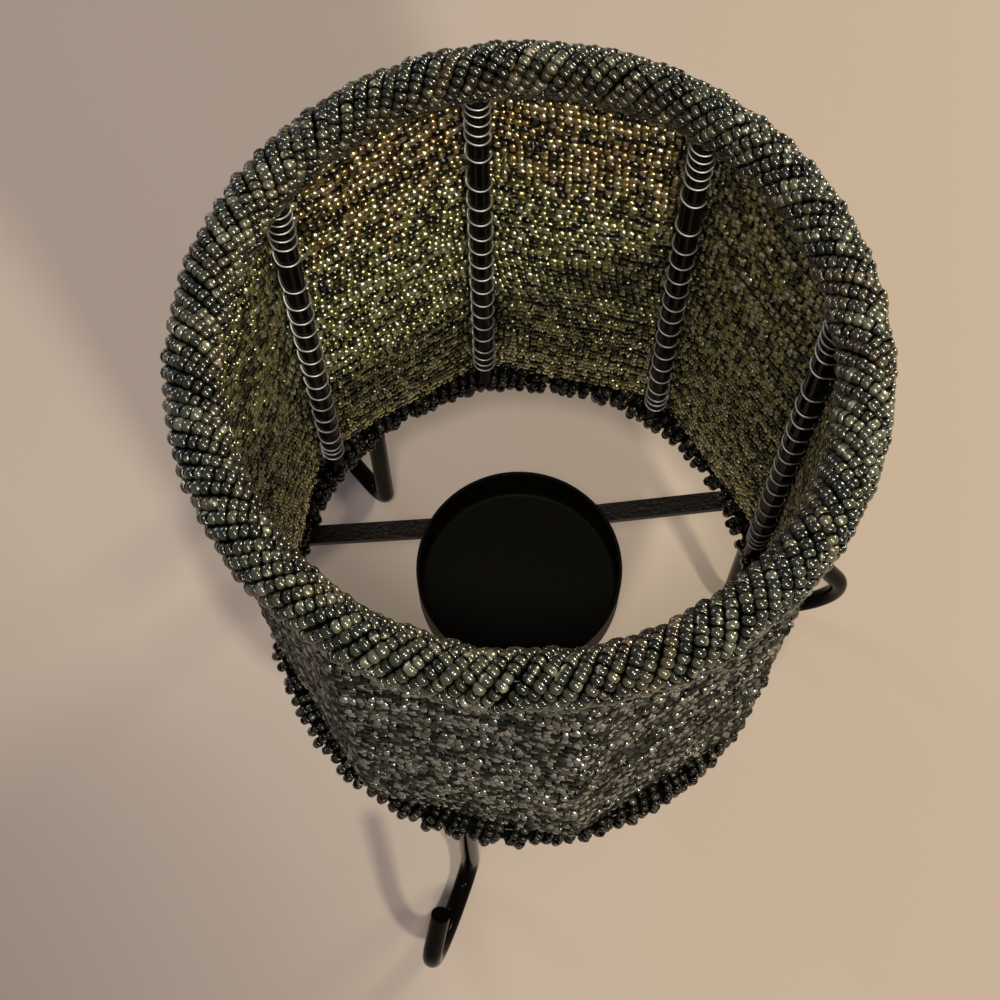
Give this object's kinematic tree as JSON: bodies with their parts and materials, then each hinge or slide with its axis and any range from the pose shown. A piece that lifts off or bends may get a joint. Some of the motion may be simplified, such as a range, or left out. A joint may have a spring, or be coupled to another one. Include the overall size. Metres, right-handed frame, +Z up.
{
  "type": "beaded tealight holder",
  "caption": "Tall round tealight holder: black wire frame walled with strings of seed beads, bead-wound rims, cup on a strap, scroll feet.",
  "frame": {"origin": "on the floor, on the vertical axis of the two rings", "axes": "+Z up along the axis of the rings; -Y is the front, the side nearest the camera in the picture"},
  "size_m": [0.1282, 0.1293, 0.1695],
  "materials": {
    "black_rod": "glossy black enamel on round steel rod",
    "black_cup": "satin black paint on pressed steel",
    "glass_beads": "strings of glossy grey-green seed beads"
  },
  "bodies": {
    "root": {"top_ring": "black_rod", "base_ring": "black_rod", "rib_1": "black_rod", "rib_2": "black_rod", "rib_3": "black_rod", "rib_4": "black_rod", "rib_5": "black_rod", "rib_6": "black_rod", "rib_7": "black_rod", "rib_8": "black_rod", "foot_1": "black_rod", "foot_2": "black_rod", "foot_3": "black_rod", "cup_strap": "black_rod", "candle_cup": "black_cup", "top_bead_roll": "glass_beads", "bottom_bead_roll": "glass_beads", "bead_panel_1": "glass_beads", "bead_panel_2": "glass_beads", "bead_panel_3": "glass_beads", "bead_panel_4": "glass_beads", "bead_panel_5": "glass_beads", "bead_panel_6": "glass_beads", "bead_panel_7": "glass_beads", "bead_panel_8": "glass_beads"}
  },
  "joints": []
}
